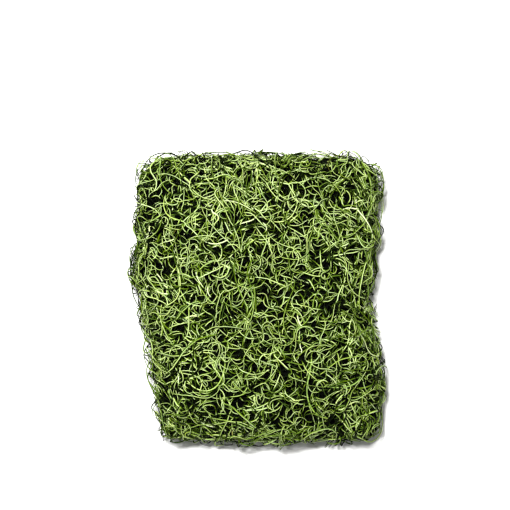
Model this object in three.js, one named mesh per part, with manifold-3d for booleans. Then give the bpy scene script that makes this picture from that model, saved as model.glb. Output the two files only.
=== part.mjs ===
// A bunch of preserved Spanish moss, pressed into a soft rectangular cake and lying on its broad side.
// Millimetres, +Z up, +Y towards the head of the cake, origin under the middle of its footprint.
// The tangle is one body: a small inner wad, with curled stems rooted in it and lying over it all round.
// The loose stems that lie over the tangle are pieces of their own. Stems fork into narrow curling leaves.
import * as THREE from "three";
import { MeshSurfaceSampler } from "three/addons/math/MeshSurfaceSampler.js";
import { mergeVertices } from "three/addons/utils/BufferGeometryUtils.js";
import Module from "manifold-3d";

const wasm = await Module();
wasm.setup();

// ---- The cake ----
// Its outline from above: the corners that a closed smooth curve runs through.
const OUTLINE = [
  [86, 88], [84, 48], [78, 2], [87, -45], [88, -84], [72, -101], [0, -103], [-58, -101],
  [-71, -84], [-79, -36], [-91, 18], [-88, 48], [-88, 86], [-66, 102], [0, 105], [68, 102],
];
const OUTLINE_POINTS = 240; // along that curve
const SHOULDER = 3.2; // higher is flatter across, with a tighter shoulder at the rim
const CROWN = 2; // higher is a flatter crown
const BELLY = 3.5; // higher is a flatter underside
const LUMP_HEIGHT = 1.5; // how far the crown rises and falls where the moss is packed unevenly
const LUMP_PITCHES = [74, 96]; // from one lump to the next, across and along

// ---- The wad inside it ----
const WAD_INSET = 14; // from the cake's outline in to the wad's rim
const CROWN_HEIGHT = 25;
const RIM_HEIGHT = 16; // the level where the rim bulges out furthest
const BELLY_HEIGHT = 7; // the underside, above the surface that the cake lies on
const FOOT_RADIUS = 14; // where the underside sags down to that surface, in the middle
const FOOT_DEPTH = 4; // how much of the sag is pressed flat
const DENT = 2; // how deep the wad is crumpled
const WAD_DETAIL = 5; // cuts along each edge of the wad's icosahedron
const SKIN_DETAIL = 12; // the same, on the smooth skin that stems start from

// ---- Stems and leaves ----
const STEM_RADIUS = 2.1; // from a stem's middle to its ridge, larger than life so that stems cover the wad
const TIP_SHARE = 0.5; // a tip's thickness as a share of the stem's
const ROOT_SHARE = 0.2; // a sunk end's thickness, likewise
const ROOT_DEPTH = 2.5; // how far a root is sunk into the wad
const BOTH_ENDS_ROOTED = 0.4; // the share of the tangled stems whose tip is sunk in too
const STEP = 7; // one straight bit of a stem
const TIGHTEST_CURL = 9; // radius
const BEND = [0.3, 1]; // how hard a stem curls, as a share of the tightest
const DRIFT = 0.4; // how far its curls favour one side, likewise
const SWING = [25, 70]; // the length from one bend to the bend the other way
const FORK_ANGLE = [0.6, 1]; // radians between a leaf and its stem
const FORK_PLACE = [0.15, 0.75]; // how far along its stem a leaf starts
const LEAF_STEPS = [4, 8];
const STEM_STEPS = [13, 20];
// The two kinds of stem: how many, the most leaves on each, whether they are rooted in the wad, the lowest
// level of their routes, and what lying on the crown costs them, which keeps it free for the loose ones.
const TANGLED = { stems: 55, leaves: 1, rooted: true, lowest: 0, crownCost: 2.5 };
const LOOSE = { stems: 22, leaves: 3, rooted: false, lowest: 10, crownCost: 0 };
const CROWN_SLOPE = 0.9; // how far up the skin faces there, as the Z of its outward direction

// ---- How they lie over one another ----
const CLEARANCE = 0.3; // between loose stems and what they lie on
const APART = 1.65 * STEM_RADIUS + CLEARANCE; // between the middles of two stems that cross
const LOWEST = STEM_RADIUS / 2 + 0.8; // a stem's middle above the skin
const STEEPEST = 0.75; // how fast a stem climbs over another
const ELBOW_ROOM = 1.6 * APART; // between the stations of a stem and of its own leaves
const NEIGHBOURS = 3; // stations along a stem that are too close to keep that room
const BITS = 4; // places tested along one straight bit
const TRIES = 40; // routes drawn for each stem, of which the one that lies best is kept
const PEAK_COST = 0.8; // what a route's highest point counts beside its mean height
const SQUASH_COST = 4; // and what being pressed into the surface below counts
const FARTHEST = 0.8; // a loose stem's gap to the nearest of the others

const TANGLE_COLOUR = 0x6f9a35;
const LOOSE_COLOUR = 0x8db944;
const ROUGHNESS = 0.85;

const SEED = 4111;
THREE.MathUtils.seededRandom(SEED);
const random = () => THREE.MathUtils.seededRandom();
const between = ([low, high]) => low + (high - low) * random();
const wholeBetween = (range) => Math.round(between(range));
const eitherWay = () => (random() < 0.5 ? -1 : 1);

// ---- The skin of the wad ----
const outline = new THREE.CatmullRomCurve3(
  OUTLINE.map(([x, y]) => new THREE.Vector3(x, y, 0)), true, "centripetal",
).getPoints(OUTLINE_POINTS)
  .map((p) => ({ angle: Math.atan2(p.y, p.x), radius: p.length() - WAD_INSET }))
  .sort((a, b) => a.angle - b.angle);

/** How far the wad's rim is from the middle, in a direction seen from above. */
function rimRadius(angle) {
  const after = Math.max(outline.findIndex((p) => p.angle >= angle), 0);
  const high = outline[after];
  const low = outline[(after + outline.length - 1) % outline.length];
  const span = high.angle - low.angle;
  const share = span > 0 ? (angle - low.angle) / span : 0;
  return low.radius + (high.radius - low.radius) * share;
}

/** How far the middle of the crown, or of the belly, is from the rim's level. */
function reachAt(x, y, above) {
  if (!above) {
    const sag = Math.exp(-(x * x + y * y) / FOOT_RADIUS ** 2);
    return RIM_HEIGHT - BELLY_HEIGHT + (BELLY_HEIGHT + FOOT_DEPTH) * sag;
  }
  const lump = Math.sin((2 * Math.PI * x) / LUMP_PITCHES[0]) * Math.cos((2 * Math.PI * y) / LUMP_PITCHES[1]);
  return CROWN_HEIGHT - RIM_HEIGHT + LUMP_HEIGHT * lump;
}

/** Below 0 inside the skin, above 0 outside it. */
function beyondSkin(p) {
  const across = Math.hypot(p.x, p.y) / rimRadius(Math.atan2(p.y, p.x));
  const level = p.z - RIM_HEIGHT;
  const rise = Math.abs(level) / reachAt(p.x, p.y, level > 0);
  return across ** SHOULDER + rise ** (level > 0 ? CROWN : BELLY) - 1;
}

/** How fast beyondSkin grows along X, Y and Z. */
function slopeAt(p) {
  const nudge = 0.05;
  const along = (x, y, z) => {
    const step = new THREE.Vector3(x, y, z).multiplyScalar(nudge);
    return (beyondSkin(p.clone().add(step)) - beyondSkin(p.clone().sub(step))) / (2 * nudge);
  };
  return new THREE.Vector3(along(1, 0, 0), along(0, 1, 0), along(0, 0, 1));
}

/** Moves a place onto the skin, in a few rounds of Newton's method. */
function toSkin(p) {
  for (let round = 0; round < 4; round++) {
    const slope = slopeAt(p);
    p.addScaledVector(slope, -beyondSkin(p) / Math.max(slope.lengthSq(), 1e-6));
  }
  return p;
}

/** A geometry of places and faces alone, with each place there once. */
function bareGeometry(geometry) {
  const bare = new THREE.BufferGeometry().setAttribute("position", geometry.getAttribute("position"));
  if (geometry.index) bare.setIndex(geometry.index);
  return mergeVertices(bare, 1e-4);
}

/** A closed mesh of the skin, crumpled inwards above its flat foot. */
function skinGeometry(detail, dent) {
  const geometry = bareGeometry(new THREE.IcosahedronGeometry(1, detail));
  const at = geometry.getAttribute("position");
  for (let i = 0; i < at.count; i++) {
    const way = new THREE.Vector3().fromBufferAttribute(at, i);
    const share = Math.hypot(way.x, way.y);
    const across = share * rimRadius(Math.atan2(way.y, way.x));
    const x = (across * way.x) / Math.max(share, 1e-9);
    const y = (across * way.y) / Math.max(share, 1e-9);
    const above = way.z > 0;
    const rise = Math.max(1 - share ** SHOULDER, 0) ** (1 / (above ? CROWN : BELLY)) * reachAt(x, y, above);
    const p = new THREE.Vector3(x, y, RIM_HEIGHT + Math.sign(way.z) * rise);
    const depth = p.z < 0 ? 0 : dent * random();
    p.addScaledVector(slopeAt(p).normalize(), -depth);
    at.setXYZ(i, p.x, p.y, p.z);
  }
  return geometry;
}

// ---- Solids ----
/** A closed geometry as a solid that can be joined to others. */
function solidOf(geometry) {
  const { attributes, index } = bareGeometry(geometry);
  const vertProperties = attributes.position.array;
  const triVerts = new Uint32Array(index.array);
  return new wasm.Manifold(new wasm.Mesh({ numProp: 3, vertProperties, triVerts }));
}

/** A three-sided stem bent along a line, its ridge turned outwards, thinner towards its tip. */
function stemSolid(line) {
  const steps = line.length - 1;
  const stations = line.map(({ centre, out, sunk }, i) => {
    const ahead = line[Math.min(i + 1, steps)].centre;
    const along = ahead.clone().sub(line[Math.max(i - 1, 0)].centre).normalize();
    const ridge = out.clone().addScaledVector(along, -out.dot(along)).normalize();
    const radius = STEM_RADIUS * (sunk ? ROOT_SHARE : 1 - (1 - TIP_SHARE) * (i / steps) ** 2);
    return { centre, ridge, side: along.clone().cross(ridge), radius };
  });
  const blank = new THREE.CylinderGeometry(1, 1, 1, 3, steps);
  const at = blank.getAttribute("position");
  for (let i = 0; i < at.count; i++) {
    const { centre, ridge, side, radius } = stations[Math.round((at.getY(i) + 0.5) * steps)];
    const p = centre.clone();
    p.addScaledVector(ridge, at.getZ(i) * radius);
    p.addScaledVector(side, at.getX(i) * radius);
    at.setXYZ(i, p.x, p.y, p.z);
  }
  return solidOf(blank);
}

/** Joins solids into one, without sealed hollows or loose scraps. */
function joined(solids) {
  return wasm.Manifold.union(solids).decompose().sort((a, b) => b.volume() - a.volume())[0];
}

// ---- What lies where ----
const CELL = 8;
const REACH = 2; // cells to look through each way, more than the stems pile up
const CELLS = 128; // more than there are along any side
const laid = new Map(); // the places along the stems laid so far, by cell
const cellOf = (p) => p.toArray().map((value) => Math.floor(value / CELL));
const keyOf = (i, j, k) => (i * CELLS + j) * CELLS + k;

/** Remembers where a stem lies, for those laid after it. */
function remember(line) {
  for (let i = 0; i + 1 < line.length; i++) {
    for (let bit = 0; bit < BITS; bit++) {
      const p = line[i].centre.clone().lerp(line[i + 1].centre, bit / BITS);
      const key = keyOf(...cellOf(p));
      if (!laid.has(key)) laid.set(key, []);
      laid.get(key).push(p);
    }
  }
}

/** The remembered places near a place. */
function laidNear(p) {
  const [x, y, z] = cellOf(p);
  const found = [];
  for (let i = x - REACH; i <= x + REACH; i++) {
    for (let j = y - REACH; j <= y + REACH; j++) {
      for (let k = z - REACH; k <= z + REACH; k++) found.push(...(laid.get(keyOf(i, j, k)) ?? []));
    }
  }
  return found;
}

/** How high above the skin a stem's middle has to be at a place, to clear the wad and all stems there. */
function heightOver(place, out) {
  let height = LOWEST;
  for (const other of laidNear(place)) {
    const offset = other.clone().sub(place);
    const above = offset.dot(out);
    const aside = Math.sqrt(Math.max(offset.lengthSq() - above * above, 0));
    if (aside < APART) height = Math.max(height, above + Math.sqrt(APART * APART - aside * aside));
  }
  return height;
}

/** The heights at which a stem lies along its route: as low as what lies under it allows. */
function heightsAlong(route) {
  const heights = route.map(() => 0);
  for (let i = 0; i + 1 < route.length; i++) {
    for (let bit = 0; bit <= BITS; bit++) {
      const place = route[i].place.clone().lerp(route[i + 1].place, bit / BITS);
      const out = route[i].out.clone().lerp(route[i + 1].out, bit / BITS).normalize();
      const height = heightOver(place, out);
      heights[i] = Math.max(heights[i], height);
      heights[i + 1] = Math.max(heights[i + 1], height);
    }
  }
  const climb = STEEPEST * STEP;
  for (let i = 1; i < heights.length; i++) heights[i] = Math.max(heights[i], heights[i - 1] - climb);
  for (let i = heights.length - 2; i >= 0; i--) heights[i] = Math.max(heights[i], heights[i + 1] - climb);
  return heights;
}

// ---- Routes over the skin ----
const skin = new THREE.Mesh(skinGeometry(SKIN_DETAIL, 0));
const sampler = new MeshSurfaceSampler(skin).setRandomGenerator(random).build();

/** A route over the skin in changing curls: places, the way out of the skin there, and the way along. */
function curlsFrom(start, heading, steps) {
  const route = [];
  const p = start.clone();
  const along = heading.clone();
  const swing = between(SWING);
  const phase = between([0, 2 * Math.PI]);
  const bend = eitherWay() * between(BEND);
  const drift = between([-DRIFT, DRIFT]);
  for (let i = 0; i <= steps; i++) {
    toSkin(p);
    const out = slopeAt(p).normalize();
    along.addScaledVector(out, -along.dot(out)).normalize();
    route.push({ place: p.clone(), out, along: along.clone() });
    const curl = bend * Math.sin(phase + (Math.PI * i * STEP) / swing) + drift;
    along.applyAxisAngle(out, (THREE.MathUtils.clamp(curl, -1, 1) * STEP) / TIGHTEST_CURL);
    p.addScaledVector(along, STEP);
  }
  return route;
}

/** Draws a stem's route, which starts anywhere on the skin. */
function drawStem() {
  const start = new THREE.Vector3();
  sampler.sample(start);
  const heading = new THREE.Vector3(eitherWay() * random(), eitherWay() * random(), eitherWay() * random());
  return curlsFrom(start, heading, wholeBetween(STEM_STEPS));
}

/** Draws a leaf's route, which forks off its stem. */
function drawLeaf(stem) {
  const station = Math.round(between(FORK_PLACE) * (stem.route.length - 1));
  const { place, out, along } = stem.route[station];
  const heading = along.clone().applyAxisAngle(out, eitherWay() * between(FORK_ANGLE));
  const route = curlsFrom(place, heading, wholeBetween(LEAF_STEPS));
  route[0].sunkTo = stem.heights[station];
  return route;
}

/** Whether a route leaves elbow room round another, apart from its first stations, or round itself. */
function isClear(route, other) {
  return route.every(({ place }, i) => other.every((station, k) => {
    const isNeighbour = route === other ? Math.abs(i - k) < NEIGHBOURS : i < NEIGHBOURS;
    return isNeighbour || station.place.distanceTo(place) > ELBOW_ROOM;
  }));
}

/** How badly a route lies: high up, on a crown kept for others, or pressed into the surface below. */
function discomfort(route, heights, crownCost) {
  const mean = heights.reduce((sum, height) => sum + height, 0) / heights.length;
  const bottom = Math.min(...route.map(({ place, out }, i) => place.z + out.z * heights[i]));
  const onCrown = route.filter(({ out }) => out.z > CROWN_SLOPE).length / route.length;
  const squash = Math.max(STEM_RADIUS / 2 - bottom, 0);
  return mean + PEAK_COST * Math.max(...heights) + SQUASH_COST * squash + crownCost * onCrown;
}

/** Draws several routes and returns the one that lies best, if any keeps clear and above the lowest level. */
function bestOf(draw, kin, { lowest, crownCost }) {
  let best = null;
  for (let tried = 0; tried < TRIES; tried++) {
    const route = draw();
    const fits = route.every(({ place }) => place.z > lowest);
    if (!fits || ![route, ...kin].every((other) => isClear(route, other))) continue;
    const heights = heightsAlong(route);
    const score = discomfort(route, heights, crownCost);
    if (!best || score < best.score) best = { route, heights, score };
  }
  return best;
}

/** The line of a stem's middle over its route, down to where its sunk ends go. */
function lineAlong({ route, heights }) {
  return route.map(({ place, out, sunkTo }, i) => {
    const centre = place.clone().addScaledVector(out, sunkTo ?? heights[i]);
    centre.z = Math.max(centre.z, STEM_RADIUS / 2);
    return { centre, out, sunk: sunkTo !== undefined };
  });
}

/** The lines of a stem and its leaves. */
function layLeafyStem(kind) {
  const stem = bestOf(drawStem, [], kind);
  if (kind.rooted) {
    stem.route[0].sunkTo = -ROOT_DEPTH;
    if (random() < BOTH_ENDS_ROOTED) stem.route.at(-1).sunkTo = -ROOT_DEPTH;
  }
  const shoots = [stem];
  for (let i = 0; i < kind.leaves; i++) {
    const leaf = bestOf(() => drawLeaf(stem), shoots.map(({ route }) => route), kind);
    if (leaf) shoots.push(leaf);
  }
  return shoots.map(lineAlong);
}

// ---- The pieces ----
/** The wad and the stems rooted in it, pressed flat where they touch the surface below. */
function tangleSolid() {
  const solids = [solidOf(skinGeometry(WAD_DETAIL, DENT))];
  for (let i = 0; i < TANGLED.stems; i++) {
    const lines = layLeafyStem(TANGLED);
    lines.forEach(remember);
    solids.push(...lines.map(stemSolid));
  }
  const side = 400;
  const below = solidOf(new THREE.BoxGeometry(side, side, side).translate(0, 0, -side / 2));
  return joined([wasm.Manifold.union(solids).subtract(below)]);
}

/** The loose stems over the tangle, each laid anew until it lies close to the others and clear of them. */
function looseSolids(tangle) {
  const solids = [];
  while (solids.length < LOOSE.stems) {
    const lines = layLeafyStem(LOOSE);
    const solid = joined(lines.map(stemSolid));
    const gap = Math.min(...[tangle, ...solids].map((other) => solid.minGap(other, 1)));
    const bottom = solid.boundingBox().min[2];
    if (gap < CLEARANCE / 2 || gap > FARTHEST || bottom < CLEARANCE) continue;
    lines.forEach(remember);
    solids.push(solid);
  }
  return solids;
}

/** A solid as a named mesh. */
function meshOf(solid, name, color) {
  const { vertProperties, triVerts } = solid.getMesh();
  const geometry = new THREE.BufferGeometry()
    .setAttribute("position", new THREE.BufferAttribute(vertProperties, 3))
    .setIndex(new THREE.BufferAttribute(triVerts, 1));
  const mesh = new THREE.Mesh(geometry, new THREE.MeshStandardMaterial({ color, roughness: ROUGHNESS }));
  mesh.name = name;
  return mesh;
}

const bunch = new THREE.Group();
const tangle = tangleSolid();
bunch.add(meshOf(tangle, "moss_tangle", TANGLE_COLOUR));
looseSolids(tangle).forEach((solid, i) => {
  bunch.add(meshOf(solid, `loose_stem_${String(i + 1).padStart(2, "0")}`, LOOSE_COLOUR));
});
const middle = new THREE.Box3().setFromObject(bunch).getCenter(new THREE.Vector3());
bunch.position.set(-middle.x, -middle.y, 0);

export default bunch;
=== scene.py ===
"""A bunch of preserved Spanish moss, pressed into a soft cake and lying on its broad side.

The frame gives the cake's height, the ground and the loose stems. The moss is modelled as strands: one
straight blank, copied and bent along courses that curl over the cake in layers, from an inner wad painted
near-black as shade out to strands painted brighter at the surface, with painted highlights on the sides that
face out. Lengths are in metres, +Z is up, and +Y is towards the head of the cake.
"""
import logging
import math
from dataclasses import dataclass, field
from enum import Enum
from typing import Self

import bpy
import numpy as np
from bpy.types import Material, Node, NodeSocket, Object
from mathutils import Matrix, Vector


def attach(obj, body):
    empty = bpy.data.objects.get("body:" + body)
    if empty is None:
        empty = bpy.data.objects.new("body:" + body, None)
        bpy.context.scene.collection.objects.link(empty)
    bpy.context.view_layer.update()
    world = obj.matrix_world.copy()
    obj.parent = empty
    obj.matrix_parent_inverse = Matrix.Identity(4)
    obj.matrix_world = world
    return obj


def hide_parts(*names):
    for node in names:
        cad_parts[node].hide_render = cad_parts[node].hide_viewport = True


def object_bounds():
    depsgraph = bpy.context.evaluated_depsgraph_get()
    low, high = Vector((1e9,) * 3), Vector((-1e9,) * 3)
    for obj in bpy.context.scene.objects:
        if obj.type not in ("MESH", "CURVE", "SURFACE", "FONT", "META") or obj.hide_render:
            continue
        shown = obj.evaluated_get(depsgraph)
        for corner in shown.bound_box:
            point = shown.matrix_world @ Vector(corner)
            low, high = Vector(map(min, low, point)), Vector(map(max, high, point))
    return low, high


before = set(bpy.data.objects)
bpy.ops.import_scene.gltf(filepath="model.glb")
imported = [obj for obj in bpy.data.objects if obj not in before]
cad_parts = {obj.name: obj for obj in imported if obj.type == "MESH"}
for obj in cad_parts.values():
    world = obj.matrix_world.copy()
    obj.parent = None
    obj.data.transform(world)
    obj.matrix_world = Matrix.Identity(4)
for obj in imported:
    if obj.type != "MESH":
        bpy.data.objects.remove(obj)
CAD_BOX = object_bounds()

logging.basicConfig(level=logging.INFO, format="%(message)s")
LOG = logging.getLogger("spanish_moss")

MM = 0.001
FULL_TURN = 2 * math.pi
LEAST_LENGTH = 1e-12  # a shorter vector has no direction
SEED = 4111
BODY = "root"
TANGLE_NODE = "moss_tangle"
LOOSE_NODES = sorted(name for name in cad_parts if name.startswith("loose_stem_"))
STRAND_MAP = "OFBake"  # the strands' UV map: U along a strand, V its painted shade and highlight with its own tone
TAPER_CURVE = 1.6  # higher is a shorter taper at a strand's tip


# ---- Helpers ----
def linear(hex_code: str) -> tuple[float, float, float, float]:
    """Turns an sRGB hex colour, #rrggbb, to the linear one with alpha that a shader takes."""
    parts = [int(hex_code[i:i + 2], 16) / 255 for i in (1, 3, 5)]
    red, green, blue = (c / 12.92 if c <= 0.04045 else ((c + 0.055) / 1.055) ** 2.4 for c in parts)
    return red, green, blue, 1.0


def add_node(material: Material, kind: str, settings: dict | None = None,
             inputs: dict | None = None) -> Node:
    """Adds a shader node with its settings and links.

    Args:
        material: The material that gets the node.
        kind: The node's type name in Blender.
        settings: Its properties, by name.
        inputs: Its input sockets, by name or number: a value, or the output socket that feeds one.

    Returns:
        The new node.
    """
    tree = material.node_tree
    node = tree.nodes.new(kind)
    for name, value in (settings or {}).items():
        setattr(node, name, value)
    for name, value in (inputs or {}).items():
        if isinstance(value, NodeSocket):
            tree.links.new(value, node.inputs[name])
        else:
            node.inputs[name].default_value = value
    return node


def add_ramp(material: Material, factor: NodeSocket, stops: dict[float, str]) -> NodeSocket:
    """Adds a ramp of hex colours by rising place, and returns its colour at the factor's place."""
    ramp = add_node(material, "ShaderNodeValToRGB", inputs={"Fac": factor})
    elements = ramp.color_ramp.elements
    while len(elements) < len(stops):
        elements.new(1.0)
    for element, (place, code) in zip(elements, stops.items()):
        element.position = place
        element.color = linear(code)
    return ramp.outputs["Color"]


def add_range(material: Material, value: NodeSocket, source: tuple[float, float],
              target: tuple[float, float]) -> NodeSocket:
    """Carries a value over from its source range to a target range, stops at its ends, and returns it."""
    ends = {"From Min": source[0], "From Max": source[1], "To Min": target[0], "To Max": target[1]}
    return add_node(material, "ShaderNodeMapRange", inputs={"Value": value, **ends}).outputs["Result"]


def add_surface(material: Material, inputs: dict) -> None:
    """Ends a material with a surface that has the given inputs, by name."""
    surface = add_node(material, "ShaderNodeBsdfPrincipled", inputs=inputs)
    add_node(material, "ShaderNodeOutputMaterial", inputs={"Surface": surface.outputs["BSDF"]})


def new_material(name: str) -> Material:
    """Makes an empty node material."""
    material = bpy.data.materials.new(name)
    material.use_nodes = True
    material.node_tree.nodes.clear()
    return material


def choose(piece: Object) -> None:
    """Makes one object the selected and active one."""
    bpy.ops.object.select_all(action="DESELECT")
    piece.select_set(True)
    bpy.context.view_layer.objects.active = piece


def apply_modifier(piece: Object, kind: str, settings: dict) -> None:
    """Adds a modifier of Blender's type kind to a piece, with settings by name, and applies it."""
    choose(piece)
    modifier = piece.modifiers.new(kind.title(), kind)
    for name, value in settings.items():
        setattr(modifier, name, value)
    bpy.ops.object.modifier_apply(modifier=modifier.name)


def places_of(piece: Object) -> np.ndarray:
    """Returns the places of a mesh's vertices, one row each."""
    flat = np.empty(len(piece.data.vertices) * 3, np.float32)
    piece.data.vertices.foreach_get("co", flat)
    return flat.reshape(-1, 3).astype(float)


def set_places(piece: Object, places: np.ndarray) -> None:
    """Moves a mesh's vertices to the given places, one row each."""
    piece.data.vertices.foreach_set("co", places.astype(np.float32).ravel())
    piece.data.update()


def unit(vectors: np.ndarray) -> np.ndarray:
    """Returns the vectors, one row each, with length 1."""
    return vectors / np.maximum(np.linalg.norm(vectors, axis=-1, keepdims=True), LEAST_LENGTH)


def turned(vectors: np.ndarray, axes: np.ndarray, angles: np.ndarray) -> np.ndarray:
    """Turns vectors about unit axes that are square to them, by angles in radians, one row each."""
    return vectors * np.cos(angles)[:, None] + np.cross(axes, vectors) * np.sin(angles)[:, None]


def numbered_cells(places: np.ndarray) -> np.ndarray:
    """Numbers the unit cells that places lie in, with their three coordinates along the last axis."""
    cells = np.floor(places).astype(int)
    cells -= cells.min(axis=(0, 1))
    return np.ravel_multi_index(tuple(np.moveaxis(cells, 2, 0)), cells.max(axis=(0, 1)) + 1)


def joined_groups(count: int, pairs: np.ndarray) -> np.ndarray:
    """Groups a count of things by the pairs that belong together, and returns each thing's group."""
    groups = np.arange(count)
    while True:
        before = groups.copy()
        lowest = np.minimum(groups[pairs[:, 0]], groups[pairs[:, 1]])
        np.minimum.at(groups, pairs[:, 0], lowest)
        np.minimum.at(groups, pairs[:, 1], lowest)
        groups = groups[groups]
        if (groups == before).all():
            return np.unique(groups, return_inverse=True)[1].ravel()


def branches(places: np.ndarray, links: np.ndarray, shortest: float) -> list[np.ndarray]:
    """Splits a branching line into its longest path and the side paths that leave it.

    Args:
        places: The places that it runs through.
        links: The pairs of places that it joins, by number.
        shortest: The length under which a side path is left out.

    Returns:
        The places along each path, the longest path first, and each side path from its fork out.
    """
    length = np.linalg.norm(places[links[:, 0]] - places[links[:, 1]], axis=1)
    near: dict[int, list[tuple[int, float]]] = {i: [] for i in range(len(places))}
    groups = np.arange(len(places))
    for k in np.argsort(length):  # the shortest links that join it all, so that no loop is left
        first, second = links[k]
        if groups[first] != groups[second]:
            groups[groups == groups[second]] = groups[first]
            near[first].append((second, length[k]))
            near[second].append((first, length[k]))

    def farthest(starts: set[int]) -> tuple[float, list[int]]:
        """Returns the longest path from any of the starts to a place outside them, and its length."""
        best = (0.0, [])
        todo = [(0.0, [start]) for start in starts]
        while todo:
            run, path = todo.pop()
            best = max(best, (run, path))
            todo += [(run + more, [*path, place]) for place, more in near[path[-1]]
                     if place not in path and place not in starts]
        return best

    end = farthest({0})[1][-1]
    paths = [farthest({end})[1]]
    used = set(paths[0])
    while True:
        run, path = farthest(used)
        if run < shortest:
            return [places[path] for path in paths]
        paths.append(path)
        used |= set(path)


def smooth_line(places: np.ndarray, bits: int) -> np.ndarray:
    """Runs a line of even bits through places, as a Catmull-Rom spline, and returns its stations."""
    finer = 8  # steps that each bit is measured in
    padded = np.vstack([2 * places[0] - places[1], places, 2 * places[-1] - places[-2]])
    share = np.linspace(0, len(places) - 1, bits * finer + 1)
    first = np.minimum(share.astype(int), len(places) - 2)
    t = (share - first)[:, None]
    a, b, c, d = (padded[first + i] for i in range(4))
    line = b + t / 2 * (c - a + t * (2 * a - 5 * b + 4 * c - d + t * (3 * (b - c) + d - a)))
    run = np.concatenate([[0], np.cumsum(np.linalg.norm(np.diff(line, axis=0), axis=1))])
    even = np.linspace(0, run[-1], bits + 1)
    return np.stack([np.interp(even, run, line[:, axis]) for axis in range(3)], axis=1)


# ---- Finishes ----
@dataclass(frozen=True)
class PreservedLeaf:
    """Spanish moss leaf, softened with glycerine and dyed green.

    The dye sits unevenly, so no two strands are the same green and some keep a straw colour. The grey scales
    on a leaf scatter the light, which leaves it matt, and glycerine keeps the strands at the surface soft.
    The
    ramps also hold painted light: deep strands are drawn near-black as painted shade, and the sides facing
    out pale as painted highlights.
    """

    name: str = "preserved_moss_leaf"
    # Painted light: the ramp runs from near-black painted shade for deep strands to pale painted highlight at
    # the surface, over the dye's greens.
    shades: dict[float, str] = field(default_factory=lambda: {
        0.0: "#010200", 0.25: "#040800", 0.5: "#192902", 0.75: "#59771a", 0.88: "#b0cc69", 1.0: "#f4fdcf",
    })
    # likewise with painted shade and highlight, for straw-coloured strands
    straw_shades: dict[float, str] = field(default_factory=lambda: {
        0.0: "#0d1006", 0.5: "#454a1c", 1.0: "#a3a860",
    })
    green_end: float = 0.89  # strands up to this U are green, and past it straw
    noise_range: tuple[float, float] = (0.3, 0.7)  # what a pattern mostly stays between
    dye_scale: float = 9.0  # how often the dye's tone changes over the map's width
    dye_range: tuple[float, float] = (0.35, 0.65)  # what its pattern mostly stays between
    dye_hue: tuple[float, float] = (0.485, 0.508)  # from yellower to bluer, and 0.5 leaves it
    dye_strength: tuple[float, float] = (1.12, 0.94)  # and from richer to greyer
    mottle: float = 0.22
    mottle_scale: float = 150.0  # about one speckle to each millimetre along a strand
    mottle_across: float = 0.06  # how much coarser they are across it on the map, to be as fine on the strand
    gloss: float = 0.4  # the roughness of the strands at the surface, still soft with glycerine
    dust: float = 0.95  # and of those deep in the bunch, dry and dusty
    dust_range: tuple[float, float] = (0.3, 0.9)  # the shades from the dustiest to the glossiest
    speckle_gloss: float = 0.12  # how much the scales' roughness varies
    scale_relief: float = 0.08 * MM
    specular: float = 0.1  # the scales scatter nearly all of the gloss
    ior: float = 1.45

    def pattern(self, material: Material, place: NodeSocket, across: float, grain: dict) -> NodeSocket:
        """Adds a noise with a grain's inputs, V scaled by across, and returns its value."""
        scale = (1.0, across, 1.0)
        spread = add_node(material, "ShaderNodeMapping", inputs={"Vector": place, "Scale": scale})
        inputs = {"Vector": spread.outputs["Vector"], **grain}
        return add_node(material, "ShaderNodeTexNoise", {"noise_dimensions": "2D"}, inputs).outputs["Fac"]

    def make(self) -> Material:
        """Builds the material, which reads nothing but the strands' own UV map."""
        material = new_material(self.name)
        place = add_node(material, "ShaderNodeUVMap", {"uv_map": STRAND_MAP}).outputs["UV"]
        split = add_node(material, "ShaderNodeSeparateXYZ", inputs={"Vector": place})
        along, shade = split.outputs["X"], split.outputs["Y"]
        # V holds the painted shade and highlight, so the ramps turn it into dark or light colour.
        green, straw = (add_ramp(material, shade, stops) for stops in (self.shades, self.straw_shades))
        is_straw = add_node(material, "ShaderNodeMath", {"operation": "GREATER_THAN"},
                            {0: along, 1: self.green_end})
        dyed = add_node(material, "ShaderNodeMix", {"data_type": "RGBA"}, {
            "Factor": is_straw.outputs["Value"], "A": green, "B": straw,
        })
        speckle = self.pattern(material, place, self.mottle_across,
                               {"Scale": self.mottle_scale, "Detail": 3.0, "Roughness": 0.6})
        lightness = (1 - self.mottle, 1 + self.mottle)
        value = add_range(material, speckle, self.noise_range, lightness)
        tone = self.pattern(material, place, 0.0, {"Scale": self.dye_scale, "Detail": 2.0})
        hue, strength = (add_range(material, tone, self.dye_range, target)
                         for target in (self.dye_hue, self.dye_strength))
        mottled = add_node(material, "ShaderNodeHueSaturation", inputs={
            "Color": dyed.outputs["Result"], "Hue": hue, "Saturation": strength, "Value": value,
        })
        dulling = add_range(material, shade, self.dust_range, (self.dust, self.gloss))
        grain = add_node(material, "ShaderNodeMath", {"operation": "MULTIPLY_ADD", "use_clamp": True}, {
            0: speckle, 1: self.speckle_gloss, 2: dulling,
        })
        relief = add_node(material, "ShaderNodeBump", inputs={
            "Height": speckle, "Strength": 1.0, "Distance": self.scale_relief,
        })
        add_surface(material, {
            "Base Color": mottled.outputs["Color"], "Roughness": grain.outputs["Value"],
            "Specular IOR Level": self.specular, "IOR": self.ior, "Normal": relief.outputs["Normal"],
        })
        return material


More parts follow.
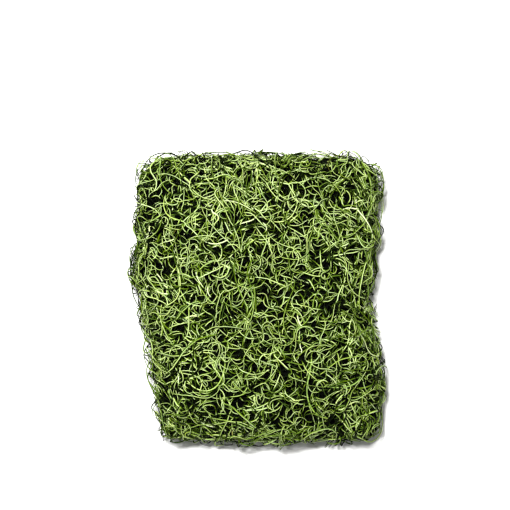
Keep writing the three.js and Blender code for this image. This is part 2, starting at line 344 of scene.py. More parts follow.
@dataclass(frozen=True)
class PaintedShadeFibre:
    """The hair-like fibre deep in the moss, matted and dry, with no sheen of its own; its near-black colour
    is painted shade.
    """

    name: str = "matted_moss_fibre"
    # near-black colours: painted shade for the dark between the strands
    shades: dict[float, str] = field(default_factory=lambda: {0.35: "#040601", 0.75: "#121b04"})
    thread_pitch: float = 2.2 * MM  # the threads are finer, and are drawn as coarse as they need to show
    clump: int = 4  # threads that mat together side by side
    tangling: float = 2.5  # how far the threads are pulled out of line
    relief: float = 0.6
    roughness: float = 0.95
    specular: float = 0.1  # the loose fibre traps the light

    def make(self) -> Material:
        """Builds the material, patterned on object coordinates."""
        material = new_material(self.name)
        place = add_node(material, "ShaderNodeTexCoord")
        threads = add_node(material, "ShaderNodeTexNoise", inputs={
            "Vector": place.outputs["Object"], "Scale": 1 / self.thread_pitch / self.clump, "Detail": 4.0,
            "Roughness": 0.7, "Distortion": self.tangling,
        })
        colour = add_ramp(material, threads.outputs["Fac"], self.shades)
        relief = add_node(material, "ShaderNodeBump", inputs={
            "Height": threads.outputs["Fac"], "Strength": self.relief, "Distance": self.thread_pitch,
        })
        add_surface(material, {
            "Base Color": colour, "Roughness": self.roughness, "Specular IOR Level": self.specular,
            "Normal": relief.outputs["Normal"],
        })
        return material


@dataclass(frozen=True)
class MattPaper:
    """Coated paper sweep, even and nearly white."""

    name: str = "matt_paper"
    colour: str = "#f4f4f2"
    roughness: float = 0.9

    def make(self) -> Material:
        """Builds the material."""
        material = new_material(self.name)
        add_surface(material, {"Base Color": linear(self.colour), "Roughness": self.roughness})
        return material


# ---- The cake ----
@dataclass
class Cake:
    """The soft cake that the moss is pressed into, as skins that lie in one another.

    A skin is a superellipsoid round the cake's own outline. Its depth is 0 for the outermost skin and 1 for
    the innermost, and below 0 it lies outside the cake.
    """

    corners: tuple[tuple[float, float], ...] = (
        (87, 90), (85, 48), (79, 2), (88, -45), (89, -84), (86, -102), (1, -104), (-70, -102),
        (-72, -84), (-78, -36), (-90, 18), (-87, 48), (-88, 88), (-76, 103), (1, 104), (76, 103),
    )  # in millimetres, what the cake's outline runs through
    edge_places: int = 40  # along each edge of the outline
    rounding: int = 3  # how many degrees each way the outline's corners are rounded over
    rim_level: float = 16 * MM  # where the rim bulges out furthest
    shoulder: float = 3.2  # higher is flatter across, with a tighter shoulder at the rim
    crown: float = 2.0  # higher is a flatter crown
    belly: float = 3.5  # higher is a flatter underside
    inset: float = 6 * MM  # from the outermost skin in to the innermost, at the rim
    drop: float = 15 * MM  # and at the crown
    rise: float = 9 * MM  # and at the belly
    nudge: float = 0.05 * MM  # the step that slopes are measured over
    rounds: int = 3  # of Newton's method, that bring places onto a skin
    least_steepness: float = 1.0  # the squared slope that such a round reckons with at least
    height: float = field(init=False)
    angles: np.ndarray = field(init=False)
    radii: np.ndarray = field(init=False)

    def __post_init__(self) -> None:
        """Takes the height from the frame and works out how far the rim is in each direction."""
        self.height = CAD_BOX[1].z
        corners = np.array(self.corners) * MM
        ahead = np.roll(corners, -1, axis=0)
        shares = np.linspace(0, 1, self.edge_places, False)
        edges = np.vstack([corners + (ahead - corners) * share for share in shares])
        edge_angles = np.arctan2(edges[:, 1], edges[:, 0])
        order = np.argsort(edge_angles)
        degrees = 360
        self.angles = (np.arange(degrees) / degrees - 0.5) * FULL_TURN
        radii = np.interp(self.angles, edge_angles[order], np.hypot(*edges[order].T), period=FULL_TURN)
        turns = range(-self.rounding, self.rounding + 1)
        self.radii = np.mean([np.roll(radii, turn) for turn in turns], axis=0)

    def reaches(self, angle: np.ndarray, is_above: np.ndarray,
                depth: np.ndarray | float) -> tuple[np.ndarray, np.ndarray, np.ndarray]:
        """Measures skins from their middle, at the level where the rim bulges out furthest.

        Args:
            angle: The directions round the cake, in radians.
            is_above: Whether each is for the crown, and not for the belly.
            depth: The skins' depth.

        Returns:
            How far the rim is, how far the crown or belly is, and how flat that one is.
        """
        rim = np.interp(angle, self.angles, self.radii, period=FULL_TURN) - depth * self.inset
        reach = np.where(is_above, self.height - self.rim_level - depth * self.drop,
                         self.rim_level - depth * self.rise)
        return rim, reach, np.where(is_above, self.crown, self.belly)

    def beyond(self, places: np.ndarray, depth: np.ndarray) -> np.ndarray:
        """Tells how far beyond the skins of their depth places are: below 0 inside, above 0 outside."""
        level = places[:, 2] - self.rim_level
        rim, reach, power = self.reaches(np.arctan2(places[:, 1], places[:, 0]), level > 0, depth)
        share = np.hypot(places[:, 0], places[:, 1]) / rim
        return share ** self.shoulder + (np.abs(level) / reach) ** power - 1

    def slope(self, places: np.ndarray, depth: np.ndarray) -> np.ndarray:
        """Returns how fast beyond() grows along X, Y and Z, one row for each place."""
        return np.stack([
            (self.beyond(places + step, depth) - self.beyond(places - step, depth)) / (2 * self.nudge)
            for step in self.nudge * np.eye(3)
        ], axis=1)

    def settle(self, places: np.ndarray, depth: np.ndarray) -> tuple[np.ndarray, np.ndarray]:
        """Moves places onto the skins of their depth, and returns them and the unit directions out there."""
        for _ in range(self.rounds):
            slope = self.slope(places, depth)
            steepness = np.maximum((slope ** 2).sum(1), self.least_steepness)
            places = places - slope * (self.beyond(places, depth) / steepness)[:, None]
        return places, unit(self.slope(places, depth))

    def skin_place(self, ways: np.ndarray, depth: float) -> np.ndarray:
        """Carries unit directions, as places on a ball, over to the skin of a depth."""
        share = np.hypot(ways[:, 0], ways[:, 1])
        angle = np.arctan2(ways[:, 1], ways[:, 0])
        rim, reach, power = self.reaches(angle, ways[:, 2] > 0, depth)
        rise = np.maximum(1 - share ** self.shoulder, 0) ** (1 / power) * reach
        return np.stack([share * rim * np.cos(angle), share * rim * np.sin(angle),
                         self.rim_level + np.sign(ways[:, 2]) * rise], axis=1)


# ---- The wad ----
@dataclass
class InnerWad:
    """The matted heart of the bunch, painted near-black so that it shows as the shade between the strands."""

    cake: Cake
    depth: float = 0.75
    detail: int = 6  # subdivisions of the ball that it starts as
    crumple: float = 2 * MM
    crumple_size: float = 9 * MM
    name: str = "moss_wad"

    def model(self) -> Object:
        """Shapes a ball to the wad's skin, crumples it and returns it."""
        bpy.ops.mesh.primitive_ico_sphere_add(subdivisions=self.detail, radius=1.0)
        wad = bpy.context.object
        wad.name = self.name
        set_places(wad, self.cake.skin_place(unit(places_of(wad)), self.depth))
        clouds = bpy.data.textures.new("crumple", "CLOUDS")
        clouds.noise_scale = self.crumple_size
        apply_modifier(wad, "DISPLACE", {
            "texture": clouds, "texture_coords": "LOCAL", "strength": self.crumple, "mid_level": 1.0,
        })
        bpy.ops.object.shade_smooth()
        return wad


# ---- Strands ----
class Strands:
    """What is known of a set of strands, in arrays with a row for each strand."""

    def pick(self, rows: np.ndarray) -> Self:
        """Returns the chosen strands as a set of their own."""
        return type(self)(**{name: values[rows] for name, values in vars(self).items()})


@dataclass
class Courses(Strands):
    """The bent centre lines of strands, with a station at each end of every straight bit."""

    centre: np.ndarray  # strands x stations x 3
    out: np.ndarray  # unit directions out of the cake, likewise
    radius: np.ndarray  # strands x stations
    twist: np.ndarray  # how far the strand is turned about its course, likewise
    shade: np.ndarray  # its painted shade and highlight with its own tone, from 0, darkest, to 1, likewise
    straw: np.ndarray  # whether each strand is straw-coloured
    lane: np.ndarray  # where each strand starts on the map, from 0 to 1

    def sides(self) -> tuple[np.ndarray, np.ndarray]:
        """Returns the unit directions of each station's width and thickness, turned by its twist."""
        along = np.empty_like(self.centre)
        along[:, 1:-1] = self.centre[:, 2:] - self.centre[:, :-2]
        along[:, 0] = self.centre[:, 1] - self.centre[:, 0]
        along[:, -1] = self.centre[:, -1] - self.centre[:, -2]
        side = unit(np.cross(along, self.out))
        up = unit(np.cross(side, along))
        turn, lean = np.cos(self.twist)[..., None], np.sin(self.twist)[..., None]
        return side * turn + up * lean, up * turn - side * lean


@dataclass
class StrandBlank:
    """One straight strand, from its foot at Z 0 to its tip at Z 1, which every strand is a bent copy of."""

    bits: int  # straight bits between the bends
    corners: int = 3
    flatness: float = 1.5  # a strand's width over its thickness
    painted_ridge_light: float = 0.68  # how much lighter the side is drawn that faces out of the bunch: a painted highlight there, and painted shade on the other sides
    painted_top_light: float = 0.45  # how much of that painted highlight a side gets which only faces up, as if lit from above
    lane: float = 0.2  # the U that a strand runs through
    green_lanes: tuple[float, float] = (0.02, 0.66)  # the U that green strands start at
    straw_lane: tuple[float, float] = (0.92, 0.98)  # what a straw-coloured one runs through
    shade_limits: tuple[float, float] = (0.01, 0.99)
    clearance: float = 0.05 * MM  # from the plane that the bunch rests on
    blank: Object = field(init=False)

    def __post_init__(self) -> None:
        """Extrudes a small face bit by bit and closes its end to a tip."""
        bpy.ops.mesh.primitive_circle_add(vertices=self.corners, radius=1.0, fill_type="NGON")
        self.blank = bpy.context.object
        bpy.ops.object.mode_set(mode="EDIT")
        bpy.ops.mesh.select_all(action="SELECT")
        for _ in range(self.bits):
            bpy.ops.mesh.extrude_region_move(TRANSFORM_OT_translate={"value": (0, 0, 1 / self.bits)})
        bpy.ops.mesh.merge(type="CENTER")
        bpy.ops.mesh.select_all(action="SELECT")
        bpy.ops.mesh.normals_make_consistent(inside=False)
        bpy.ops.object.mode_set(mode="OBJECT")
        bpy.ops.object.shade_smooth()
        self.blank.data.uv_layers.new(name=STRAND_MAP)

    def bent_all(self, courses: dict[str, Courses]) -> list[Object]:
        """Bends copies of the blank along the courses of each piece, by its name, and removes the blank."""
        pieces = [self.bent(lines, name) for name, lines in courses.items()]
        bpy.data.objects.remove(self.blank)
        return pieces

    def bent(self, courses: Courses, name: str) -> Object:
        """Makes a piece of copies of the blank, one bent along each of the courses."""
        choose(self.blank)
        bpy.ops.object.duplicate()
        piece = bpy.context.object
        piece.name = name
        straight = places_of(piece)
        apply_modifier(piece, "ARRAY", {"count": len(courses.centre), "use_relative_offset": False})
        station = np.rint(straight[:, 2] * self.bits).astype(int)
        width, thickness = (direction[:, station] for direction in courses.sides())
        spread = math.sqrt(self.flatness)
        offset = straight[:, 0, None] * width * spread + straight[:, 1, None] * thickness / spread
        ground = CAD_BOX[0].z
        centre = courses.centre.copy()
        centre[:, :, 2] = np.maximum(centre[:, :, 2], ground + courses.radius)  # the underside lies flat
        places = centre[:, station] + courses.radius[:, station, None] * offset
        places[:, :, 2] = np.maximum(places[:, :, 2], ground + self.clearance)
        set_places(piece, places.reshape(-1, 3))
        # Painted light: the side of each strand that faces out of the bunch, or up, is drawn lighter and the
        # other sides darker.
        side = unit(offset)
        painted_light_facing = np.maximum((side * courses.out[:, station]).sum(2), self.painted_top_light * side[:, :, 2])
        self.shade(piece, straight[:, 2], courses.shade[:, station] + self.painted_ridge_light * painted_light_facing, courses)
        return piece

    def shade(self, piece: Object, share: np.ndarray, shade: np.ndarray, courses: Courses) -> None:
        """Lays the strands' UV map: U along each strand, and V its painted shade and highlight with its own
        tone.

        Args:
            piece: The bent copies.
            share: How far along the strand each of the blank's vertices is.
            shade: The painted shade and highlight of each strand's vertices, with its own tone.
            courses: The strands' courses.
        """
        low, high = self.green_lanes
        start = low + (high - low) * courses.lane[:, None]
        first, last = self.straw_lane
        along = np.where(courses.straw[:, None], first + (last - first) * share, start + self.lane * share)
        uv = np.stack([along, np.clip(shade, *self.shade_limits)], axis=2).reshape(-1, 2)
        corners = np.empty(len(piece.data.loops), np.int32)
        piece.data.loops.foreach_get("vertex_index", corners)
        piece.data.uv_layers[STRAND_MAP].data.foreach_set("uv", uv[corners].astype(np.float32).ravel())


@dataclass(frozen=True)
class Habit:
    """How one kind of strand grows: each range is what its strands' values are drawn from."""

    share: float  # of all tufts
    bit: tuple[float, float]  # the length of a straight bit
    curl: tuple[float, float]  # the radius of its curls, at their tightest
    swing: tuple[float, float]  # the length from one bend to the next one the same way
    drift: float  # how far its curls favour one side, as a share of the tightest
    dive: tuple[float, float]  # the length from one dive under its neighbours to the next
    weave: tuple[float, float]  # how far it weaves in and out, in depth
    radius: tuple[float, float]  # its own, at its foot


class Growth(Enum):
    """The kinds of strand in a bunch."""

    RINGLET = Habit(0.56, (1.0 * MM, 1.5 * MM), (2.8 * MM, 5.5 * MM), (16 * MM, 54 * MM), 0.45,
                    (20 * MM, 44 * MM), (0.05, 0.17), (0.46 * MM, 0.63 * MM))
    ARC = Habit(0.32, (1.5 * MM, 2.4 * MM), (5.0 * MM, 11 * MM), (24 * MM, 70 * MM), 0.4,
                (18 * MM, 46 * MM), (0.06, 0.2), (0.48 * MM, 0.7 * MM))
    RUNNER = Habit(0.12, (2.2 * MM, 3.5 * MM), (12 * MM, 40 * MM), (50 * MM, 140 * MM), 0.3,
                   (30 * MM, 70 * MM), (0.1, 0.26), (0.52 * MM, 0.8 * MM))


@dataclass
class Shoots(Strands):
    """Strands before they are bent: where each starts and how it grows."""

    place: np.ndarray
    heading: np.ndarray
    bit: np.ndarray
    curl: np.ndarray  # 1 / radius
    swing: np.ndarray
    phase: np.ndarray
    drift: np.ndarray
    radius: np.ndarray
    depth: np.ndarray
    weave: np.ndarray  # how far it weaves in and out, in depth
    weave_swing: np.ndarray
    weave_phase: np.ndarray
    lift: np.ndarray  # how far its tip stands off
    arch: np.ndarray  # and its middle
    tint: np.ndarray  # how much lighter it is than others at its depth
    straw: np.ndarray


@dataclass
class Growing:
    """Bends strands bit by bit as they grow over the cake's skins."""

    cake: Cake
    dice: np.random.Generator
    shallowest: float = -0.1
    deepest: float = 1.0
    kink: float = 0.13  # radians between one bit and the next that no curl explains
    taper: float = 0.55  # how much thinner a strand is just before its tip
    foot_taper: float = 0.35  # and at its foot
    foot_curve: int = 6  # higher is a shorter foot
    lean: float = 0.35  # radians that a strand's ridge leans, give or take
    twist_rate: float = 25.0  # radians for each metre, at most
    top_shade: float = 0.45  # the painted brightness of strands on the outermost skin
    painted_shade_fall: float = 2.75  # how much darker they are painted on the innermost, as painted shade
    painted_shade_curve: float = 0.6  # under 1, the painted shade deepens fastest near the surface

    def grow(self, shoots: Shoots, bits: int) -> tuple[Courses, np.ndarray]:
        """Grows strands of a number of bits.

        Args:
            shoots: The strands' starts and habits.
            bits: How many straight bits each has.

        Returns:
            Their courses, and the depth of each station.
        """
        place, heading = shoots.place, shoots.heading
        count = len(place)
        centres, outs, depths = [], [], []
        for station in range(bits + 1):
            run = shoots.bit * station
            share = station / bits
            weave = shoots.weave * np.sin(shoots.weave_phase + FULL_TURN * run / shoots.weave_swing)
            below = np.abs(shoots.depth + weave - self.shallowest)  # what comes up that far turns back in
            depth = np.minimum(self.shallowest + below, self.deepest)
            place, out = self.cake.settle(place, depth)
            heading = unit(heading - out * (heading * out).sum(1, keepdims=True))
            height = shoots.lift * share ** 2 + shoots.arch * math.sin(math.pi * share)
            centres.append(place + out * height[:, None])
            outs.append(out)
            depths.append(depth)
            curl = shoots.curl * (np.sin(shoots.phase + FULL_TURN * run / shoots.swing) + shoots.drift)
            heading = turned(heading, out, curl * shoots.bit + self.dice.normal(0, self.kink, count))
            place = place + heading * shoots.bit[:, None]
        share = np.linspace(0, 1, bits + 1)
        tip = 1 - self.taper * share ** TAPER_CURVE
        foot = 1 - self.foot_taper * (1 - share) ** self.foot_curve
        radius = shoots.radius[:, None] * tip * foot
        centre, depth = np.stack(centres, axis=1), np.stack(depths, axis=1)
        rate = self.dice.uniform(-1, 1, count) * self.twist_rate * shoots.bit * bits
        twist = self.dice.normal(0, self.lean, count)[:, None] + rate[:, None] * share
        out = np.stack(outs, axis=1)
        # Painted shade: the deeper a station lies, the darker it is drawn, in place of the shade that falls
        # between the strands.
        darker = self.painted_shade_fall * np.maximum(depth, 0) ** self.painted_shade_curve
        shade = self.top_shade - darker + shoots.tint[:, None]
        lane = self.dice.random(count)
        return Courses(centre, out, radius, twist, shade, shoots.straw, lane), depth


@dataclass
class StrandBed:
    """Sows the strands: tufts of like strands all over the cake, and leaves that fork off them."""

    growing: Growing
    tufts: int = 22000
    tuft_sizes: tuple[float, ...] = (0.5, 0.32, 0.14, 0.04)  # the shares of tufts with 1, 2, 3 and 4 strands
    tuft_spread: float = 1.8 * MM
    splay: float = 0.08  # how far a tuft's strands part, in radians
    leaf_share: float = 0.4  # of the strands that carry a leaf
    fork_angle: tuple[float, float] = (0.35, 0.95)  # radians
    unforked: tuple[int, int] = (2, 4)  # bits at a strand's foot and tip that no leaf forks off
    leaf_radius: tuple[float, float] = (0.8, 0.95)  # over its strand's
    leaf_bit: tuple[float, float] = (1.8 * MM, 3.4 * MM)
    leaf_curl: tuple[float, float] = (5 * MM, 22 * MM)
    leaf_swing: tuple[float, float] = (50 * MM, 120 * MM)
    top_depth: float = 0.04  # where the shallowest tufts lie
    depth_spread: float = 0.7  # and how much deeper the deepest are
    depth_curve: float = 1.3  # over 1, the shallow tufts are more
    hoop_share: float = 0.5  # of tufts that stand off, whose middles do and not their tips
    tint_spread: float = 0.11
    tint_limits: tuple[float, float] = (-0.12, 0.2)
    stray_share: float = 0.015  # of tufts, whose tips or middles stand off
    rim_stray_share: float = 0.14  # how many more do so round the rim
    stray_height: tuple[float, float] = (1.5 * MM, 7.5 * MM)  # round the rim
    top_height: float = 0.6  # how much of that it is on top
    stray_darker: float = 0.12  # how much darker the strands are drawn that stand off
    straw_share: float = 0.0015
    tries: int = 12  # places drawn for each one that is used
    room: float = 1.6 * MM  # the side of the cells that strands keep from sharing
    crowding: float = 0.3  # the share of a strand's stations that may lie in another's cells
    picking_noise: float = 0.04  # how loosely they are picked by their depth
    patch: float = 5 * MM  # the side of the surface's patches that are to be covered evenly
    cover: float = 6.0  # how many times over a patch may be covered in all
    cover_curve: float = 0.6  # under 1, the shallow strands take more than their share of it

    def starts(self, count: int) -> np.ndarray:
        """Draws a number of places spread evenly over the outermost skin, one row each."""
        cake, dice = self.growing.cake, self.growing.dice
        ways = unit(dice.normal(size=(count * self.tries, 3)))
        places = cake.skin_place(ways, 0.0)
        # A patch of the ball of directions is stretched to this area on the skin.
        nudge = 1e-3
        first = unit(np.cross(ways, np.roll(ways, 1, axis=1)))
        second = np.cross(ways, first)
        edges = [cake.skin_place(unit(ways + nudge * side), 0.0) - places for side in (first, second)]
        area = np.linalg.norm(np.cross(*edges), axis=1)
        rows = dice.choice(len(ways), count, replace=False, p=area / area.sum())
        return places[rows]

    def strays(self, places: np.ndarray) -> np.ndarray:
        """Draws how far the tufts that start at places stand off the cake, which is 0 for most."""
        dice, count = self.growing.dice, len(places)
        out = unit(self.growing.cake.slope(places, np.zeros(count)))
        side = 1 - out[:, 2] ** 2
        height = dice.uniform(*self.stray_height, count) * (self.top_height + (1 - self.top_height) * side)
        return np.where(dice.random(count) < self.stray_share + self.rim_stray_share * side, height, 0.0)

    def sow(self) -> Shoots:
        """Draws every tuft, and returns how the strands in them start and grow."""
        dice = self.growing.dice
        count = self.tufts
        kinds = list(Growth)
        kind = dice.choice(len(kinds), count, p=[growth.value.share for growth in kinds])

        def drawn(name: str) -> np.ndarray:
            """Draws each tuft's value from its own kind's range."""
            ranges = np.array([getattr(growth.value, name) for growth in kinds])
            low, high = ranges[kind].T
            return dice.uniform(low, high)

        drift = np.array([growth.value.drift for growth in kinds])[kind]
        places = self.starts(count)
        height = self.strays(places)
        is_hoop = dice.random(count) < self.hoop_share
        calm = np.where(height > 0, 0.0, 1.0)  # a strand that stands off doesn't dive
        tuft = Shoots(
            place=places,
            heading=unit(dice.normal(size=(count, 3))),
            bit=drawn("bit"),
            curl=dice.choice([-1, 1], count) / drawn("curl"),
            swing=drawn("swing"),
            phase=dice.uniform(0, FULL_TURN, count),
            drift=dice.uniform(-1, 1, count) * drift,
            radius=drawn("radius"),
            depth=(self.top_depth + self.depth_spread * dice.random(count) ** self.depth_curve) * calm,
            weave=drawn("weave") * calm,
            weave_swing=drawn("dive"),
            weave_phase=dice.uniform(0, FULL_TURN, count),
            lift=np.where(is_hoop, 0.0, height),
            arch=np.where(is_hoop, height, 0.0),
            tint=np.clip(dice.normal(0, self.tint_spread, count), *self.tint_limits)
            - self.stray_darker * (height > 0),
            straw=dice.random(count) < self.straw_share,
        )
        sizes = dice.choice(len(self.tuft_sizes), count, p=self.tuft_sizes) + 1
        rows = np.repeat(np.arange(count), sizes)
        is_extra = np.concatenate([[False], rows[1:] == rows[:-1]])
        shoots = tuft.pick(rows)
        shoots.place = shoots.place + dice.normal(0, self.tuft_spread, (len(rows), 3)) * is_extra[:, None]
        shoots.heading = unit(shoots.heading + dice.normal(0, self.splay, (len(rows), 3)))
        for name, spread in {"bit": 0.06, "curl": 0.08, "swing": 0.05, "radius": 0.12, "weave": 0.2}.items():
            setattr(shoots, name, getattr(shoots, name) * (1 + dice.normal(0, spread, len(rows))))
        for name, spread in {"phase": 0.15, "depth": 0.05, "tint": 0.05}.items():
            setattr(shoots, name, getattr(shoots, name) + dice.normal(0, spread, len(rows)))
        return shoots

    def roomy(self, stems: Courses, depth: np.ndarray, stands_off: np.ndarray) -> np.ndarray:
        """Picks strands that leave one another room, as stems that hold each other apart do.

        The shallowest are picked first, and only where the surface isn't yet covered more than elsewhere.

        Args:
            stems: The courses of all strands.
            depth: The depth of each station.
            stands_off: Whether each strand stands off the others, and is kept in any case.

        Returns:
            The numbers of the strands that are kept.
        """
        cells = numbered_cells(stems.centre / self.room)
        # A patch of the surface is seen along the axis that it faces most.
        axis = np.abs(stems.out).argmax(2)[..., None]
        faced = np.take_along_axis(stems.out, axis, 2)
        seen = stems.centre / self.patch
        np.put_along_axis(seen, axis, np.sign(faced) * (1 + axis), 2)
        patches = numbered_cells(seen)
        bit = np.linalg.norm(np.diff(stems.centre, axis=1), axis=2).mean(1, keepdims=True)
        area = 2 * stems.radius * bit * np.abs(faced)[..., 0] / self.patch ** 2
        taken, covered = np.zeros(cells.max() + 1, bool), np.zeros(patches.max() + 1)
        kept = list(np.flatnonzero(stands_off))
        order = np.argsort(depth.mean(1) + self.growing.dice.normal(0, self.picking_noise, len(depth)))
        order = order[~stands_off[order]]
        limits = self.cover * np.linspace(0, 1, len(order)) ** self.cover_curve
        for strand, limit in zip(order, limits):
            if covered[patches[strand]].max() <= limit and taken[cells[strand]].mean() <= self.crowding:
                taken[cells[strand]] = True
                np.add.at(covered, patches[strand], area[strand])
                kept.append(strand)
        return np.array(kept)

    def leaves(self, shoots: Shoots, stems: Courses, depth: np.ndarray) -> Shoots:
        """Draws the leaves that fork off some of the strands.

        Args:
            shoots: The strands' starts and habits.
            stems: The courses of the strands.
            depth: The depth of each of their stations.

        Returns:
            The leaves' starts and habits.
        """
        dice = self.growing.dice
        is_forked = (dice.random(len(stems.centre)) < self.leaf_share) & (shoots.lift + shoots.arch == 0)
        rows = np.flatnonzero(is_forked)
        count = len(rows)
        first, last = self.unforked
        bits = stems.centre.shape[1] - 1
        station = dice.integers(first, bits - last, count)
        leaf = shoots.pick(rows)
        leaf.place = stems.centre[rows, station]
        along = unit(stems.centre[rows, station + 1] - leaf.place)
        way = dice.choice([-1, 1], count)
        leaf.heading = turned(along, stems.out[rows, station], way * dice.uniform(*self.fork_angle, count))
        leaf.radius = stems.radius[rows, station] * dice.uniform(*self.leaf_radius, count)
        leaf.bit = dice.uniform(*self.leaf_bit, count)
        leaf.curl = way / dice.uniform(*self.leaf_curl, count)
        leaf.swing = dice.uniform(*self.leaf_swing, count)
        leaf.phase = dice.uniform(0, FULL_TURN / 4, count)
        leaf.depth = depth[rows, station]
        leaf.weave_phase = np.zeros(count)
        return leaf


@dataclass
class TangledMoss:
    """The tangle's strands, in one piece for each layer, and the leaves that fork off them."""

    bed: StrandBed
    strand_bits: int = 16
    leaf_bits: int = 8
    layers: int = 6

    def model(self) -> list[Object]:
        """Grows the strands, and returns their layers from the deepest out, and then the leaves."""
        growing = self.bed.growing
        shoots = self.bed.sow()
        stems, depth = growing.grow(shoots, self.strand_bits)
        kept = self.bed.roomy(stems, depth, shoots.lift + shoots.arch > 0)
        shoots, stems, depth = shoots.pick(kept), stems.pick(kept), depth[kept]
        leaves, _ = growing.grow(self.bed.leaves(shoots, stems, depth), self.leaf_bits)
        deepest_first = np.argsort(-depth.mean(1), kind="stable")
        layers = {f"moss_layer_{i + 1}": stems.pick(rows)
                  for i, rows in enumerate(np.array_split(deepest_first, self.layers))}
        pieces = StrandBlank(self.strand_bits).bent_all(layers)
        return pieces + StrandBlank(self.leaf_bits).bent_all({"moss_leaves": leaves})


# ---- Loose stems ----
@dataclass
class LooseStems:
    """The stems that lie over the tangle, each traced along the middle of its solid."""

    cake: Cake
    dice: np.random.Generator
    ring: float = 4.6 * MM  # edges of a solid that are shorter than this run round its stem
    shortest: float = 6 * MM  # a side path under this is no leaf
    bits: int = 44
    corners: int = 5
    radius: float = 0.62 * MM
    leaf_radius: float = 0.5 * MM
    lift: float = 2.2 * MM  # how far they are raised off the tangle's strands
    taper: float = 0.6
    twist_rate: float = 30.0
    # their level on the shade ramp, under the painted highlight on their ridges
    shade: float = 0.34
    tint: float = 0.06

    def paths(self, node: str) -> list[np.ndarray]:
        """Finds the places along the middle of a node's stem, then those along each leaf from its fork."""
        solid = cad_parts[node]
        rounded = np.round(places_of(solid), decimals=6)
        places, numbers = np.unique(rounded, axis=0, return_inverse=True)
        faces = numbers.ravel()[np.array([tuple(face.vertices) for face in solid.data.polygons])]
        sides = np.vstack([faces[:, [0, 1]], faces[:, [1, 2]], faces[:, [2, 0]]])
        edges = np.unique(np.sort(sides, axis=1), axis=0)
        length = np.linalg.norm(places[edges[:, 0]] - places[edges[:, 1]], axis=1)
        groups = joined_groups(len(places), edges[length < self.ring])
        middles = np.array([places[groups == group].mean(0) for group in range(groups.max() + 1)])
        links = np.unique(np.sort(groups[edges[length >= self.ring]], axis=1), axis=0)
        links = links[links[:, 0] != links[:, 1]]
        return branches(middles, links, self.shortest)

    def courses(self, node: str) -> Courses:
        """Lays courses along the middles of a node's stem and its leaves."""
        share = np.linspace(0, 1, self.bits + 1)
        centres, radii = [], []
        for i, path in enumerate(self.paths(node)):
            centres.append(smooth_line(path, self.bits))
            foot = self.leaf_radius if i else self.radius
            radii.append(foot * (1 - self.taper * share ** TAPER_CURVE))
        centre, radius = np.array(centres), np.array(radii)
        flat = centre.reshape(-1, 3)
        out = unit(self.cake.slope(flat, np.zeros(len(flat)))).reshape(centre.shape)
        centre = centre + out * self.lift
        count = len(centre)
        length = np.linalg.norm(np.diff(centre, axis=1), axis=2).sum(1)
        rate = self.dice.uniform(-1, 1, count) * self.twist_rate * length
        twist = self.dice.uniform(0, FULL_TURN, count)[:, None] + rate[:, None] * share
        shade = np.full(radius.shape, self.shade + self.dice.normal(0, self.tint))
        return Courses(centre, out, radius, twist, shade, np.zeros(count, bool), self.dice.random(count))

    def model(self) -> dict[str, Object]:
        """Models a piece for each of the frame's loose stems, and returns them by their nodes."""
        courses = {f"{node}_fine": self.courses(node) for node in LOOSE_NODES}
        pieces = StrandBlank(self.bits, self.corners).bent_all(courses)
        return dict(zip(LOOSE_NODES, pieces))


# ---- The studio ----
@dataclass(frozen=True)
class Lamp:
    """A square soft light that faces the cake."""

    name: str
    place: tuple[float, float, float]
    size: float
    power: float  # watts

    def hang(self) -> None:
        """Hangs the lamp."""
        lamp = bpy.data.lights.new(self.name, "AREA")
        lamp.size = self.size
        lamp.energy = self.power
        holder = bpy.data.objects.new(self.name, lamp)
        bpy.context.scene.collection.objects.link(holder)
        holder.location = self.place
        holder.rotation_euler = holder.location.normalized().to_track_quat("Z", "Y").to_euler()


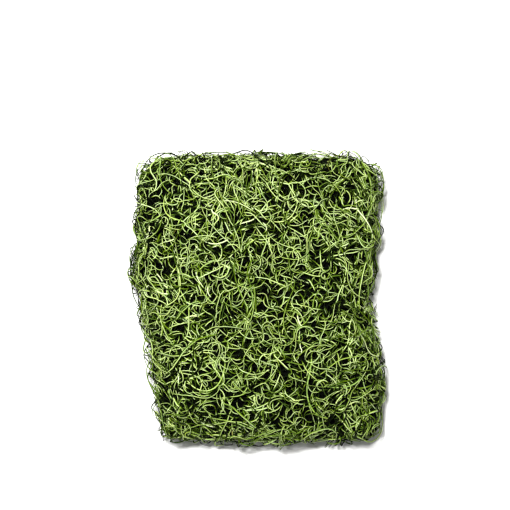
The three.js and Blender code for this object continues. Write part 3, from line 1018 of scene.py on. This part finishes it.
@dataclass
class Studio:
    """The floor, the lights and the camera, which looks straight down on the cake."""

    lamps: tuple[Lamp, ...] = (
        Lamp("key", (-0.25, 0.45, 1.4), 0.3, 48.0),
        Lamp("fill", (0.9, -0.5, 1.4), 1.2, 3.0),
    )
    glow: float = 0.1  # of the room
    floor_side: float = 6.0
    level: float = 25 * MM  # in the moss, which the view is measured at
    distance: float = 1.2  # from that level up to the camera
    view_width: float = 372 * MM  # at that level
    aim: tuple[float, float] = (-2.65 * MM, 32.3 * MM)  # the X and Y that the camera looks straight down on

    def floor(self, finish: MattPaper) -> None:
        """Lays the floor that the cake rests on."""
        bpy.ops.mesh.primitive_plane_add(size=self.floor_side)
        floor = bpy.context.object
        floor.name = "floor"
        floor.data.materials.append(finish.make())

    def lights(self) -> None:
        """Hangs the lamps and sets the glow of the room."""
        for lamp in self.lamps:
            lamp.hang()
        world = bpy.data.worlds.new("room")
        world.use_nodes = True
        background = world.node_tree.nodes["Background"]
        background.inputs["Color"].default_value = linear("#ffffff")
        background.inputs["Strength"].default_value = self.glow
        bpy.context.scene.world = world

    def camera(self) -> None:
        """Sets up the camera above the cake."""
        lens = bpy.data.cameras.new("camera")
        lens.lens = lens.sensor_width * self.distance / self.view_width
        camera = bpy.data.objects.new("camera", lens)
        camera.location = (*self.aim, self.level + self.distance)
        bpy.context.scene.collection.objects.link(camera)
        bpy.context.scene.camera = camera


def report(piece: Object) -> None:
    """Logs a piece's name and how many faces it has."""
    LOG.info("%s: %d faces", piece.name, len(piece.data.polygons))


def main() -> None:
    """Builds the bunch, its floor, its lights and its camera."""
    bpy.context.scene.view_settings.view_transform = "Standard"
    studio = Studio()
    studio.camera()
    studio.lights()
    studio.floor(MattPaper())

    dice = np.random.default_rng(SEED)
    cake = Cake()
    wad = InnerWad(cake).model()
    # The wad is painted near-black, as the shade deep between the strands.
    wad.data.materials.append(PaintedShadeFibre().make())
    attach(wad, BODY)
    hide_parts(TANGLE_NODE)
    report(wad)

    leaf = PreservedLeaf().make()
    layers = TangledMoss(StrandBed(Growing(cake, dice))).model()
    for layer in layers:
        layer.data.materials.append(leaf)
        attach(layer, BODY)
        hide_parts(TANGLE_NODE)
        report(layer)

    for node, stem in LooseStems(cake, dice).model().items():
        stem.data.materials.append(leaf)
        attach(stem, BODY)
        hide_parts(node)
        report(stem)


if __name__ == "__main__":
    main()
